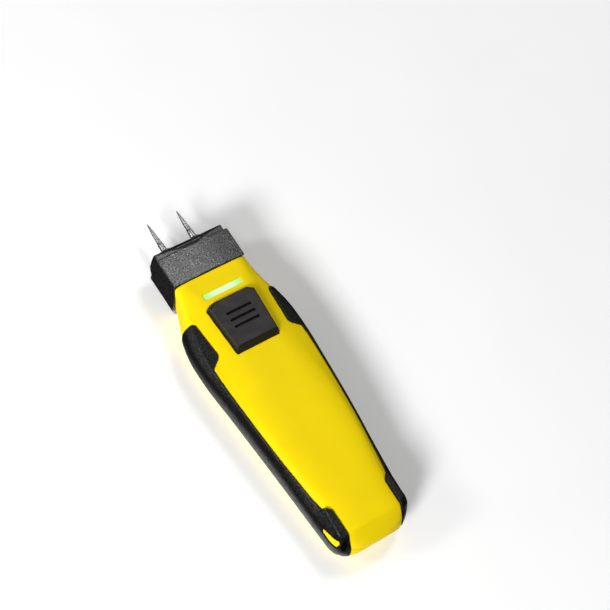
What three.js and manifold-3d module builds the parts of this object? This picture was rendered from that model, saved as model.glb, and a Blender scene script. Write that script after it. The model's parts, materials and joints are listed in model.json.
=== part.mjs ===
// Pin-type moisture meter: a hand-held case of two yellow shells with black side grips, a measuring head with
// two steel pins, a press key under a light bar, and a battery bay with a sliding cover in its back.
// Millimetres. X runs across the case, Y along it towards the pins, Z out of its front face.
// The model is drawn with Y = 0 at the case's lower end, and the last lines centre it over its back face.

import * as THREE from "three";
import { mergeVertices } from "three/addons/utils/BufferGeometryUtils.js";
import Module from "manifold-3d";

const wasm = await Module();
wasm.setup();

// ---- Driving dimensions ----
const CASE_LENGTH = 136.4; // lower end to the top of the measuring head
const FRONT_Z = 21; // front face above the back face
const WALL = 2;
const GAP = 0.25; // between neighbouring mouldings
const PARTING_Z = 13; // plane where the two shells meet
const SEAM_Y = 120.4; // head meets shells on the front face
const SEAM_SLOPE = 3.4; // and this much lower at the back
const CORNER_R = 9; // lower corners, seen from the front
const BEVEL_Y = 6.5; // length of the bevel at the lower end of the front face
const GRIP_PROUD = 0.45;
const GRIP_DEPTH = 1.4;
const GRIP_TOP_Y = 105;
const GRIP_BACK_Z = 3.4;
const NOTCH_Y = 19.6; // where the lower bumper of each grip starts
const NOTCH_X = 12.2;
const BUMPER = { foot: 12.1, topY: 18.8, lowY: 8.4, endY: 4.6 }; // the ridge along each lower bumper

const HEAD = { halfWidth: 16.2, backHalfWidth: 10.6, shoulderY: 125.4, cavityY: 131.5, wall: 1.9 };
const PLATE_TOP = 133.2; // top of the head's front plate
const SLOT = { halfWidth: 5.9, low: 1.65, high: 0.55, floorZ: 18 }; // in the head, low and high below its top
const KEY = { y: 96.75, length: 21.7, topWidth: 21.2, bottomWidth: 19.2, rise: 2.3, flange: 1, travel: 0.8 };
const GROOVE = { ys: [94.9, 97.9, 100.9], halfLength: 5.6, width: 0.9, depth: 1.5 };
const LIGHT = { y: 111.5, width: 16.9, height: 2.1 };
const PIN = { x: 6.8, z: 10.7, r: 1.2, reach: 15.9, cone: 10.4 };
const COLLAR = { r: 2.6, height: 2.2 };
const SOCKET = { r: 2, y0: 122.5 };
const CELL = { x: 5.7, z: 7.8, r: 5.25, y0: 29.4, length: 43.4 };
const BAY = { y0: 25.4, y1: 76.4, halfWidth: 11.8, top: 13.5, wall: 1.2 };
const COVER = { y1: 79.5, halfWidth: 12.6, thick: 2, railOut: 0.8, railZ: 1.2 };
const BOARD = { z: 12.4, thick: 1.6, y0: 78.6, y1: 116, halfWidth: 14.2 };
const CASE_SCREWS = [[10.9, 110.5], [-10.9, 110.5], [8.6, 12.6], [-8.6, 12.6]];
const CASE_SCREW = { r: 1.1, headR: 2.2, headZ: 2.7, headHeight: 1.7, end: 14.6 };
const TAB_Z = 10.2; // height of the contact tabs where they leave the bay
const BOARD_TOP = BOARD.z + BOARD.thick;
const KEY_FLANGE_Z = FRONT_Z - WALL - 0.7;
const SWITCH = { bodyTop: BOARD_TOP + 1.9, top: BOARD_TOP + 2.9, buttonR: 1.6, sink: 0.5 };
const BOARD_SCREWS = [[11.4, 81.6], [-11.4, 81.6]];
const BOARD_SCREW = { r: 0.85, headR: 1.7, headHeight: 1, end: 18 };
const EYE = { x: -14.3, y: 4.1, z: 15, r: 1, sleeveR: 1.6, lean: 0.08 }; // lanyard hole, lower left corner

// ---- Small tools ----
// A smooth curve through [y, value] stations.
function through(stations) {
  const tangent = (i) => {
    const a = stations[Math.max(i - 1, 0)];
    const b = stations[Math.min(i + 1, stations.length - 1)];
    return (b[1] - a[1]) / (b[0] - a[0]);
  };
  return (y) => {
    let i = stations.findIndex((s) => s[0] > y) - 1;
    if (i === -2) return stations.at(-1)[1];
    i = Math.max(i, 0);
    const [y0, v0] = stations[i];
    const [y1, v1] = stations[i + 1];
    const span = y1 - y0;
    const t = Math.max((y - y0) / span, 0);
    const rise = v1 - v0;
    const m0 = tangent(i) * span;
    const m1 = tangent(i + 1) * span;
    return v0 + t * (m0 + t * (3 * rise - 2 * m0 - m1 + t * (m0 + m1 - 2 * rise)));
  };
}

// How far an arc of radius r has come in at distance d from the end it rounds.
const arcInset = (r, d) => (d < r ? r - Math.sqrt(r * r - (r - Math.max(d, 0)) ** 2) : 0);

function solid(geometry) {
  const bare = geometry.index ? geometry.toNonIndexed() : geometry.clone();
  bare.deleteAttribute("normal");
  bare.deleteAttribute("uv");
  const merged = mergeVertices(bare, 1e-4);
  const corners = merged.index.array;
  const kept = [];
  for (let i = 0; i < corners.length; i += 3) {
    const [a, b, c] = corners.slice(i, i + 3);
    if (a !== b && b !== c && c !== a) kept.push(a, b, c);
  }
  const vertProperties = merged.attributes.position.array;
  const triVerts = new Uint32Array(kept);
  return new wasm.Manifold(new wasm.Mesh({ numProp: 3, vertProperties, triVerts }));
}

function box(x0, x1, y0, y1, z0, z1) {
  const g = new THREE.BoxGeometry(x1 - x0, y1 - y0, z1 - z0);
  return solid(g.translate((x0 + x1) / 2, (y0 + y1) / 2, (z0 + z1) / 2));
}

// An upright cylinder, along Z.
function post(x, y, z0, z1, r, sides = 16) {
  const g = new THREE.CylinderGeometry(r, r, z1 - z0, sides).rotateX(Math.PI / 2);
  return solid(g.translate(x, y, (z0 + z1) / 2));
}

// A turned piece about an axis along Y: profile is [radius, y] from end to end.
function turned(profile, x, z, sides = 24) {
  const points = profile.map(([r, y]) => new THREE.Vector2(r, y));
  return solid(new THREE.LatheGeometry(points, sides).translate(x, 0, z));
}

// A plan outline, given as a THREE.Shape in X and Y, between two heights.
function prism(shape, z0, z1, curveSegments = 6) {
  const g = new THREE.ExtrudeGeometry(shape, { depth: z1 - z0, bevelEnabled: false, curveSegments });
  return solid(g.translate(0, 0, z0));
}

const outline = (points) => new THREE.Shape(points.map(([x, y]) => new THREE.Vector2(x, y)));

// A round bar bent along points.
function wire(points, r, steps = 14) {
  const path = new THREE.CatmullRomCurve3(points.map((p) => new THREE.Vector3(...p)));
  const ring = new THREE.Shape().absarc(0, 0, r, 0, 2 * Math.PI);
  const options = { extrudePath: path, steps, curveSegments: 3, bevelEnabled: false };
  return solid(new THREE.ExtrudeGeometry(ring, options));
}

// ---- Cross-sections ----
// A convex polygon moved out by grow.
function offsetPolygon(corners, grow) {
  const count = corners.length;
  const lines = corners.map(([x0, z0], i) => {
    const [x1, z1] = corners[(i + 1) % count];
    const length = Math.hypot(x1 - x0, z1 - z0);
    const normal = [-(z1 - z0) / length, (x1 - x0) / length];
    return { normal, reach: normal[0] * x0 + normal[1] * z0 + grow };
  });
  return corners.map((_, i) => {
    const a = lines[(i + count - 1) % count];
    const b = lines[i];
    const det = a.normal[0] * b.normal[1] - a.normal[1] * b.normal[0];
    const x = (a.reach * b.normal[1] - b.reach * a.normal[1]) / det;
    const z = (b.reach * a.normal[0] - a.reach * b.normal[0]) / det;
    return [x, z];
  });
}

// Each corner turned into a curve of 3 points that starts and ends its radius away, or half an edge if less.
function roundedPolygon(corners, radii) {
  const count = corners.length;
  const points = [];
  corners.forEach(([x, z], i) => {
    const ends = [corners[(i + count - 1) % count], corners[(i + 1) % count]].map(([ex, ez]) => {
      const length = Math.hypot(ex - x, ez - z);
      const share = Math.min(radii[i], length * 0.45) / length;
      return [x + (ex - x) * share, z + (ez - z) * share];
    });
    for (const t of [0, 0.5, 1]) {
      const [a, b, c] = [(1 - t) ** 2, 2 * t * (1 - t), t * t];
      points.push([a * ends[0][0] + b * x + c * ends[1][0], a * ends[0][1] + b * z + c * ends[1][1]]);
    }
  });
  return points;
}

// A closed solid through rings of [x, y, z] of equal count, each counter-clockwise seen from the next one.
function loft(rings) {
  const count = rings[0].length;
  const index = [];
  for (let s = 0; s < rings.length - 1; s++) {
    for (let i = 0; i < count; i++) {
      const a = s * count + i;
      const b = s * count + ((i + 1) % count);
      index.push(a, b, a + count, b, b + count, a + count);
    }
  }
  const last = (rings.length - 1) * count;
  for (let i = 1; i < count - 1; i++) {
    index.push(0, i + 1, i);
    index.push(last, last + i, last + i + 1);
  }
  const g = new THREE.BufferGeometry();
  g.setAttribute("position", new THREE.Float32BufferAttribute(rings.flat(2), 3));
  return solid(g.setIndex(index));
}

// The case's outline and heights along its length.
const sideHalf = through([[0, 16.9], [22, 18.4], [40, 19.6], [68, 21.7], [86, 23.1], [98, 22.6],
  [104, 21.2], [110, 18.9], [117, 16.5], [126, 15.9]]);
const creaseHalf = through([[0, 14.4], [20, 15.9], [46, 18.8], [64, 20.1], [84.6, 20.9], [94, 20.4],
  [104, 18.5], [112, 16.9], [120.4, 16], [126, 15.6]]);
const creaseZ = through([[0, 17.4], [20, 17.6], [46, 18.2], [64, 18.4], [104, 18.6], [118, 19.4],
  [126, 19.8]]);
const plateauHalf = through([[0, 11], [20, 11.6], [40, 14.4], [60, 14.4], [75, 12.6], [86, 11.2],
  [108, 11.4], [120, 14]]);
const frontZ = through([[0, 20], [20, 20.3], [40, 20.7], [60, FRONT_Z], [126, FRONT_Z]]);
const bevelDrop = (y) => 0.85 * Math.max(BEVEL_Y - y, 0);
const backRise = through([[0, 11], [0.6, 8.3], [1.5, 5.4], [3, 2.3], [4.8, 0.6], [7, 0]]);
const cornerInset = (y) => arcInset(CORNER_R, y);

// How much of the lower bumper's raised ridge there is at y.
function bumperShare(y) {
  if (y > BUMPER.topY) return 0;
  return Math.min(Math.max((y - BUMPER.endY) / (BUMPER.lowY - BUMPER.endY), 0), 1);
}

// The plateau's edge and the crease moved towards the bumper's foot and ridge by share.
function raiseRidge([plateau, crease], y, share) {
  const t = (BUMPER.foot - plateau[0]) / (crease[0] - plateau[0]);
  const foot = [BUMPER.foot, plateau[1] + t * (crease[1] - plateau[1])];
  const down = BUMPER.topY - y;
  const ridge = [14.5 + 0.07 * down, 20.1 - 0.09 * down];
  const towards = (from, to) => from.map((v, i) => v + share * (to[i] - v));
  return [towards(plateau, foot), towards(crease, ridge)];
}

// Half a section from the front plateau to the back face, mirrored into a whole ring.
function caseRing(y, grow, ridge = 0) {
  const side = sideHalf(y) - cornerInset(y);
  const crease = creaseHalf(y) - cornerInset(y) * 0.9;
  const top = frontZ(y) - bevelDrop(y);
  const edge = creaseZ(y) - bevelDrop(y);
  const rise = backRise(y);
  const widest = Math.max(edge - 3.3, rise + 0.5);
  const shoulder = rise + 0.42 * (widest - rise);
  const plain = [[Math.min(plateauHalf(y), crease - 3), top], [crease, edge]];
  const front = ridge ? raiseRidge(plain, y, ridge) : plain;
  const half = [...front, [side, widest], [side - 1.4, shoulder], [side - 4.8, rise]];
  const mirrored = half.map(([x, z]) => [-x, z]).reverse();
  const radii = ridge ? [0.8, 0.7, 3.5, 6, 4] : [8, 1.3, 3.5, 6, 4];
  const corners = offsetPolygon([...mirrored, ...half], grow);
  return roundedPolygon(corners, [...[...radii].reverse(), ...radii]).map(([x, z]) => [x, y, z]);
}

const CASE_STATIONS = [0, 0.6, 1.5, 3, 4.8, 6.5, 10, 20, 41, 63, 84, 93, 100, 106, 112, 118, 126];

function caseSolid(grow, from, to) {
  const inner = CASE_STATIONS.filter((y) => y > from + 0.4 && y < to - 0.4);
  return loft([from, ...inner, to].map((y) => caseRing(y, grow)));
}

// ---- Side grips ----
// One grip's area seen from the front: upper pad, thin edge strip, lower bumper. inset moves its inner edge.
function gripPlan(side, inset) {
  const strip = (y) => [creaseHalf(y) - 0.5 + inset, y];
  const points = [
    [40, GRIP_TOP_Y - inset],
    [18 + inset, GRIP_TOP_Y - inset],
    [16.9 + inset, GRIP_TOP_Y - 1.3],
    [16 + inset, 89.4],
    [16.6 + inset, 88.1],
    strip(85.2),
    ...[74, 63, 52, 41, 30].map(strip),
    [creaseHalf(20) - 1 + inset, NOTCH_Y - inset],
    [NOTCH_X + 1 + inset, NOTCH_Y - 1.2 - inset],
    [NOTCH_X + inset, NOTCH_Y - 2.6 - inset],
    [NOTCH_X - 0.4 + inset, -5],
    [40, -5],
  ].map(([x, y]) => [side * x, y]);
  return outline(side > 0 ? points : points.reverse());
}

// The space one grip takes up: its front area down to the case's widest line, and the flank below that.
function gripSpace(side, inset) {
  const [x0, x1] = [side * (NOTCH_X - 0.4 + inset), side * 40].sort((a, b) => a - b);
  const flank = box(x0, x1, -5, GRIP_TOP_Y - inset, GRIP_BACK_Z + inset, 13.7);
  return prism(gripPlan(side, inset), 13.6, 40).add(flank);
}

const GRIP_STATIONS = [0, 0.6, 1.5, 3, 4.6, 6.5, 8.4, 18.8, 19.4, 20, 41, 63, 84, 93, 100, 106];

// Outer skin of the grips: the case grown a little, raised into a ridge at each lower bumper.
const gripSkin = (proud) => loft(GRIP_STATIONS.map((y) => caseRing(y, proud, bumperShare(y))));

// The window in the left grip where the front shell shows beside the lanyard hole, shrunk by inset.
function eyeWindow(inset) {
  const low = PARTING_Z + 0.2;
  const corners = [[5.3, low], [5.3, 15.3], [6.2, 16.7], [9.9, 16], [13.7, 14.9], [13.1, low]];
  return across(offsetPolygon(corners, -inset)).intersect(box(-30, -9, -5, 20, 0, 30));
}

// The hole a lanyard is threaded through, leaning as it goes from the flank to the back.
function eyeHole(r) {
  const sides = 16;
  const circle = (z) => Array.from({ length: sides }, (_, i) => {
    const angle = (2 * Math.PI * i) / sides;
    return [EYE.x - EYE.lean * (z - EYE.z) + r * Math.cos(angle), EYE.y + r * Math.sin(angle), z];
  });
  return loft([circle(-2), circle(EYE.z + 5)]);
}

// One grip. The left one has the eye window, and a sleeve that lines the lanyard hole.
function grip(side) {
  const layer = gripSkin(GRIP_PROUD).subtract(caseSolid(-GRIP_DEPTH, GRIP_DEPTH + 0.3, 112));
  const whole = layer.intersect(gripSpace(side, GAP));
  if (side > 0) return whole;
  const sleeve = eyeHole(EYE.sleeveR - 0.1).intersect(caseSolid(0, 0, 60));
  return whole.subtract(eyeWindow(0)).add(sleeve).subtract(eyeHole(EYE.r));
}

// ---- Shells ----
function keyShape(grow) {
  const top = KEY.topWidth / 2 + grow;
  const bottom = KEY.bottomWidth / 2 + grow;
  const [y0, y1] = [KEY.y - KEY.length / 2 - grow, KEY.y + KEY.length / 2 + grow];
  const right = [[bottom, y0], [top, y1 - 1.6], [top - 2.6, y1]];
  const left = right.map(([x, y]) => [-x, y]).reverse();
  return outline([...right, ...left]);
}

function lightShape(grow) {
  const [w, h] = [LIGHT.width / 2 + grow, LIGHT.height / 2 + grow];
  return outline([[-w, LIGHT.y - h], [w, LIGHT.y - h], [w, LIGHT.y + h], [-w, LIGHT.y + h]]);
}

// Both shells as one hollow case, with a wall set back under each grip and a solid lanyard corner.
function hollowCase() {
  const skin = caseSolid(0, 0, 126).subtract(caseSolid(-WALL, WALL, 130));
  const backing = caseSolid(-GRIP_DEPTH - GAP, 1.95, 126);
  const inner = caseSolid(-GRIP_DEPTH - GAP - 1.3, 3.4, 130);
  const grips = gripSpace(1, 0).add(gripSpace(-1, 0));
  const wider = gripSpace(1, -1.2).add(gripSpace(-1, -1.2));
  const walls = skin.subtract(grips).add(backing.subtract(inner).intersect(wider));
  const corner = box(-30, -9.4, -1, 14, 3, 20).intersect(backing);
  const land = eyeWindow(0.12).intersect(gripSkin(GRIP_PROUD - 0.12));
  return walls.add(corner).add(land).subtract(eyeHole(EYE.sleeveR)).subtract(headSide(-GAP));
}

function frontShell(hollow) {
  let shell = hollow.intersect(box(-40, 40, -5, 140, PARTING_Z + GAP / 2, 40));
  for (const [x, y] of CASE_SCREWS) shell = shell.add(post(x, y, PARTING_Z + 0.3, 19.2, 2.3));
  for (const [x, y] of BOARD_SCREWS) shell = shell.add(post(x, y, BOARD.z + BOARD.thick + GAP, 19.7, 1.8));
  for (const [x, y] of CASE_SCREWS) shell = shell.subtract(post(x, y, 5, 16.2, CASE_SCREW.r + 0.3, 12));
  for (const [x, y] of BOARD_SCREWS) shell = shell.subtract(post(x, y, 10, 18.4, BOARD_SCREW.r + 0.25, 12));
  return shell.subtract(prism(keyShape(0.3), 15, 30)).subtract(prism(lightShape(0.2), 15, 30));
}

const coverShape = (grow) => {
  const [w, y1] = [COVER.halfWidth + grow, COVER.y1 + grow];
  return outline([[-w, -5], [w, -5], [w, y1 - 3], [w - 3, y1], [-w + 3, y1], [-w, y1 - 3]]);
};

// The cover's tongue and the groove it slides in are both this bar, at either side of the cover.
const coverRail = (grow, y0, y1) => {
  const reach = COVER.halfWidth + COVER.railOut + grow;
  return box(-reach, reach, y0, y1 + grow, COVER.railZ - grow, COVER.thick + grow);
};

function rearShell(hollow) {
  const w = BAY.wall;
  const room = box(-BAY.halfWidth, BAY.halfWidth, BAY.y0, BAY.y1, -5, BAY.top);
  const floorZ = COVER.thick + GAP;
  const tub = box(-BAY.halfWidth - w, BAY.halfWidth + w, BAY.y0 - w, BAY.y1 + w, floorZ, BAY.top + w);
  const deck = box(-COVER.halfWidth - 2.6, COVER.halfWidth + 2.6, 2, COVER.y1 + 2.4, floorZ, floorZ + w);
  let shell = hollow.intersect(box(-40, 40, -5, 140, -5, PARTING_Z - GAP / 2));
  shell = shell.add(tub.add(deck).intersect(caseSolid(-0.6, 0.6, 126)));
  const inside = caseSolid(-0.3, 0.6, 126);
  for (const [x, y] of CASE_SCREWS) {
    shell = shell.add(post(x, y, -1, PARTING_Z - 0.2, 3.1).intersect(inside));
  }
  shell = shell.subtract(room).subtract(prism(coverShape(GAP), -5, floorZ));
  shell = shell.subtract(coverRail(GAP, -5, COVER.y1 - 4));
  for (const x of [-5.7, 5.7]) {
    shell = shell.subtract(box(x - 0.95, x + 0.95, BAY.y1 - 1, BAY.y1 + 3, TAB_Z - 0.25, TAB_Z + 0.55));
  }
  for (const [x, y] of CASE_SCREWS) {
    const head = post(x, y, -5, CASE_SCREW.headZ + CASE_SCREW.headHeight + 0.2, CASE_SCREW.headR + 0.3);
    shell = shell.subtract(head).subtract(post(x, y, -5, 15, CASE_SCREW.r + 0.4, 12));
  }
  return shell.subtract(eyeHole(EYE.sleeveR));
}

function batteryCover() {
  const plate = caseSolid(0, 0, 90).intersect(prism(coverShape(0), -5, COVER.thick));
  const tongue = coverRail(0, 26, COVER.y1 - 4.5);
  let cover = plate.add(tongue);
  for (let i = 0; i < 5; i++) cover = cover.subtract(box(-6, 6, 62 + 2.2 * i, 63.2 + 2.2 * i, -1, 0.5));
  return cover;
}

// ---- Measuring head ----
// The head's section. setBack moves its front face in.
function headRing(y, grow, setBack = 0) {
  const front = FRONT_Z - setBack;
  const half = [[5, front + 0.15], [HEAD.halfWidth, front - 0.55], [HEAD.halfWidth, 6.2], [13.8, 1.6],
    [HEAD.backHalfWidth, 0.1]];
  const mirrored = half.map(([x, z]) => [-x, z]).reverse();
  const radii = [7, 0.4, 1.2, 1.5, 2];
  const corners = offsetPolygon([...mirrored, ...half], grow);
  return roundedPolygon(corners, [...[...radii].reverse(), ...radii]).map(([x, z]) => [x, y, z]);
}

const headBlock = (grow, y0, y1, setBack = 0) =>
  loft([headRing(y0, grow, setBack), headRing(y1, grow, setBack)]);

// Something drawn in Y and Z and carried right across the case.
function across(points) {
  const g = new THREE.ExtrudeGeometry(outline(points), { depth: 80, bevelEnabled: false });
  g.translate(0, 0, -40);
  const [x, y, z] = [new THREE.Vector3(1, 0, 0), new THREE.Vector3(0, 1, 0), new THREE.Vector3(0, 0, 1)];
  return solid(g.applyMatrix4(new THREE.Matrix4().makeBasis(y, z, x)));
}

// Everything on the head's side of the seam, which leans back down the case's sides. shift moves the seam.
function headSide(shift) {
  const low = SEAM_Y - SEAM_SLOPE;
  const seam = [[SEAM_Y, 30], [SEAM_Y, 18.6], [SEAM_Y - 2.3, 14], [low, 7], [low, -5]];
  return across([...seam.map(([y, z]) => [y + shift, z]), [160, -5], [160, 30]]);
}

// The head seen from the side: a front plate, and behind it a crowned block that reaches the top.
const HEAD_BACK = [[100, -5], [131.5, -5], [132.4, 1]];
const PLATE_PROFILE = [...HEAD_BACK, [PLATE_TOP, 5], [PLATE_TOP, 30], [100, 30]];
const CROWN = [[CASE_LENGTH - 0.4, 10], [CASE_LENGTH, 14], [CASE_LENGTH, 18.2], [CASE_LENGTH - 0.3, 18.9],
  [CASE_LENGTH - 1.2, 19.4]];
const BLOCK_PROFILE = [...HEAD_BACK, [134.2, 7.2], ...CROWN, [133, 19.9], [132, 30], [100, 30]];

const socketHole = (side) => turned([[0, 120], [SOCKET.r + 0.3, 120], [SOCKET.r + 0.3, 140], [0, 140]],
  side * PIN.x, PIN.z);

function measuringHead() {
  const bore = caseSolid(-WALL - GAP - 1.4, 99, 130).intersect(headBlock(-HEAD.wall, 99, 130));
  const cavity = headBlock(-HEAD.wall, HEAD.shoulderY, HEAD.cavityY);
  const inCase = caseSolid(-WALL - GAP, 100, 126).intersect(headSide(-3));
  const neck = inCase.intersect(headBlock(-0.6, 99, HEAD.shoulderY));
  const plate = headBlock(0, 110, 140).intersect(across(PLATE_PROFILE));
  const block = headBlock(-0.8, 112, 140, 0.6).intersect(across(BLOCK_PROFILE));
  const [y0, y1] = [CASE_LENGTH - SLOT.low, CASE_LENGTH - SLOT.high];
  const slot = box(-SLOT.halfWidth, SLOT.halfWidth, y0, y1, SLOT.floorZ, 30);
  const head = plate.add(block).intersect(headSide(0)).add(neck);
  const holes = cavity.add(bore).add(slot).add(socketHole(-1)).add(socketHole(1));
  return head.subtract(holes);
}

function electrodeCarrier() {
  const block = box(-11, 11, 125.9, HEAD.cavityY - 0.3, 5.4, 16).add(box(-3.4, 3.4, 123.6, 127, 7.6, 13.8));
  return block.subtract(socketHole(-1)).subtract(socketHole(1));
}

// A brass tube closed at its lower end, which takes the pin's shank.
function socket(side) {
  const top = CASE_LENGTH + 0.1;
  const bore = PIN.r + 0.15;
  const outside = [[0, SOCKET.y0], [SOCKET.r, SOCKET.y0], [SOCKET.r, top]];
  return turned([...outside, [bore, top], [bore, 126], [0, 126]], side * PIN.x, PIN.z, 20);
}

function collar(side) {
  const y = CASE_LENGTH + 0.35;
  const [r, top, bore] = [COLLAR.r, y + COLLAR.height, PIN.r + 0.15];
  const profile = [[bore, y], [r, y], [r, top - 0.7], [r - 0.6, top], [bore, top], [bore, y]];
  return turned(profile, side * PIN.x, PIN.z, 20);
}

function electrode(side) {
  const tip = CASE_LENGTH + PIN.reach;
  const cone = tip - PIN.cone;
  const shank = [[0, 126.3], [PIN.r, 126.3], [PIN.r, cone]];
  const point = [[PIN.r * 0.86, cone + 0.5], [PIN.r * 0.62, tip - 5], [PIN.r * 0.3, tip - 1.8], [0, tip]];
  return turned([...shank, ...point], side * PIN.x, PIN.z, 16);
}

const electrodeLead = (side) => wire([[side * 5.4, BOARD.y1 + 0.5, 10.9], [side * 5.6, 118, 11],
  [side * 6.4, 120.4, 10.9], [side * PIN.x, SOCKET.y0 - 0.3, PIN.z]], 0.6);

// ---- Key, light and electronics ----
// A pad with steep flanks, a long chamfer at its lower end and three finger grooves, on a skirt with a flange
// that stays behind the front wall.
function measureKey() {
  const rim = keyShape(0).getPoints().slice(0, 6);
  const top = FRONT_Z + KEY.rise;
  // The pad's outline at z, moved in at its flanks, its lower end and its upper end.
  const ring = (z, flank, low, high) => rim.map(({ x, y }) => {
    const inward = y < KEY.y ? low : -high;
    return [x - Math.sign(x) * flank, y + inward, z];
  });
  const pad = loft([ring(KEY_FLANGE_Z - KEY.flange, 0, 0, 0), ring(FRONT_Z + 0.1, 0, 0, 0),
    ring(top - 0.4, 0.45, 1.5, 0.25), ring(top, 0.85, 1.95, 0.6)]);
  const flange = prism(keyShape(1), KEY_FLANGE_Z - KEY.flange, KEY_FLANGE_Z);
  const hollow = prism(keyShape(-2), 10, FRONT_Z - 0.6);
  const plunger = post(0, KEY.y, SWITCH.top + 0.1, FRONT_Z, SWITCH.buttonR);
  let key = pad.add(flange).subtract(hollow).add(plunger);
  const { halfLength, width, depth } = GROOVE;
  for (const y of GROOVE.ys) {
    key = key.subtract(box(-halfLength, halfLength, y - width / 2, y + width / 2, top - depth, top + 1));
  }
  return key;
}

// A soft ring under the key's flange that pushes it back up.
function returnPad() {
  const z1 = KEY_FLANGE_Z - KEY.flange - KEY.travel - 0.1;
  return prism(keyShape(0.9), BOARD_TOP + 0.25, z1).subtract(prism(keyShape(-0.6), 0, 30));
}

function lightGuide() {
  const bar = prism(lightShape(0), FRONT_Z - WALL - 0.2, FRONT_Z - 0.05);
  const stem = box(-6.6, 6.6, LIGHT.y - 0.8, LIGHT.y + 0.8, BOARD_TOP + 1.1, FRONT_Z - WALL);
  return bar.add(stem);
}

function circuitBoard() {
  const { z, thick, y0, y1, halfWidth } = BOARD;
  let board = box(-halfWidth, halfWidth, y0, 106.5, z, z + thick).add(box(-7.4, 7.4, 106, y1, z, z + thick));
  for (const [x, y] of BOARD_SCREWS) {
    board = board.subtract(post(x, y, z - 1, z + 3, BOARD_SCREW.r + 0.25, 12));
  }
  return board;
}

// The switch's body, with a well its button sinks into.
function switchBody() {
  const floor = SWITCH.bodyTop - SWITCH.sink - KEY.travel - 0.15;
  const body = box(-3, 3, KEY.y - 3, KEY.y + 3, BOARD_TOP + 0.05, SWITCH.bodyTop);
  return body.subtract(post(0, KEY.y, floor, SWITCH.top, SWITCH.buttonR + 0.2));
}

const switchButton = () => post(0, KEY.y, SWITCH.bodyTop - SWITCH.sink, SWITCH.top, SWITCH.buttonR);

const chip = (x, y, w, l, h) =>
  box(x - w / 2, x + w / 2, y - l / 2, y + l / 2, BOARD_TOP + 0.05, BOARD_TOP + h);

// ---- Battery ----
function cell(side) {
  const { r, y0, length } = CELL;
  const [nub, end] = [y0 + length - 0.9, y0 + length];
  const can = [[0, y0], [r - 0.4, y0], [r, y0 + 0.5], [r, nub - 0.5], [r - 0.5, nub]];
  const profile = [...can, [1.9, nub], [1.9, end], [0, end]];
  const body = turned(profile, 0, CELL.z, 20);
  const turn = side > 0 ? body : flipAlong(body, y0 + length / 2);
  return turn.translate([side * CELL.x, 0, 0]);
}

// The same solid turned end for end about the line across the case at y and the cells' height.
const flipAlong = (body, y) => body.translate([0, -y, 0]).rotate([0, 0, 180]).translate([0, y, 0]);

// A cone spring against the negative end of a cell, two turns of wire.
function contactSpring(side) {
  const lower = side > 0;
  const wall = lower ? BAY.y0 + 0.95 : BAY.y1 - 0.95;
  const face = lower ? CELL.y0 - 0.4 : CELL.y0 + CELL.length + 0.4;
  const points = [];
  const steps = 20;
  for (let i = 0; i <= steps; i++) {
    const t = i / steps;
    const angle = t * 2 * 2 * Math.PI;
    const r = 3.6 - 1.6 * t;
    const [across, up] = [r * Math.cos(angle), r * Math.sin(angle)];
    points.push([side * CELL.x + across, wall + (face - wall) * t, CELL.z + up]);
  }
  return wire(points, 0.3, 28);
}

// A plate on the bay's upper end wall behind one cell, with a tab that goes through the wall up to the board.
function contactPlate(side) {
  const span = (a, b) => [side * a, side * b].sort((p, q) => p - q);
  const plate = box(...span(0.8, 10.6), BAY.y1 - 0.45, BAY.y1 - 0.15, 4, 11.6);
  const tab = box(...span(5, 6.4), BAY.y1 - 0.4, BOARD.y0 + 1.4, TAB_Z, TAB_Z + 0.3);
  return plate.add(tab).add(box(...span(5, 6.4), BOARD.y0 + 1.1, BOARD.y0 + 1.4, TAB_Z, BOARD.z - 0.1));
}

// The strip at the bay's lower end that joins the two cells.
const contactBridge = () => box(-10.6, 10.6, BAY.y0 + 0.15, BAY.y0 + 0.45, 4, 11.6);

// ---- Fasteners ----
function screw(x, y, headZ, headHeight, headR, r, end) {
  const body = post(x, y, headZ, headZ + headHeight, headR).add(post(x, y, headZ + 0.2, end, r, 12));
  const [long, wide, deep] = [headR * 0.55, 0.28, headHeight * 0.55];
  const bars = box(x - long, x + long, y - wide, y + wide, headZ - 1, headZ + deep)
    .add(box(x - wide, x + wide, y - long, y + long, headZ - 1, headZ + deep));
  return body.subtract(bars);
}

const caseScrew = ([x, y]) =>
  screw(x, y, CASE_SCREW.headZ, CASE_SCREW.headHeight, CASE_SCREW.headR, CASE_SCREW.r, CASE_SCREW.end);
const boardScrew = ([x, y]) => screw(x, y, BOARD.z - BOARD_SCREW.headHeight - 0.05, BOARD_SCREW.headHeight,
  BOARD_SCREW.headR, BOARD_SCREW.r, BOARD_SCREW.end);

// ---- Materials ----
const material = (color, roughness, metalness = 0) =>
  new THREE.MeshStandardMaterial({ color, roughness, metalness });
const MATERIALS = {
  yellow: material(0xf6d80f, 0.42),
  graphite: material(0x4a4648, 0.55),
  rubber: material(0x272325, 0.75),
  steel: material(0xc8c9cc, 0.22, 1),
  brass: material(0xc9a355, 0.3, 1),
  light: material(0xb9f7a0, 0.3),
  board: material(0x1f6b3a, 0.5),
  chip: material(0x1b1b1d, 0.45),
  silicone: material(0x8d9296, 0.6),
  insulator: material(0xd9d6cc, 0.5),
  cell: material(0x5b6a75, 0.35),
  redWire: material(0xb3261e, 0.5),
  blackWire: material(0x1a1a1a, 0.5),
};

// ---- Assembly ----
const meter = new THREE.Group();

function place(name, body, look) {
  const { vertProperties, triVerts } = body.getMesh();
  const g = new THREE.BufferGeometry();
  g.setAttribute("position", new THREE.BufferAttribute(vertProperties, 3));
  g.setIndex(new THREE.BufferAttribute(triVerts, 1));
  g.computeVertexNormals();
  const mesh = new THREE.Mesh(g, MATERIALS[look]);
  mesh.name = name;
  meter.add(mesh);
}

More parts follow.
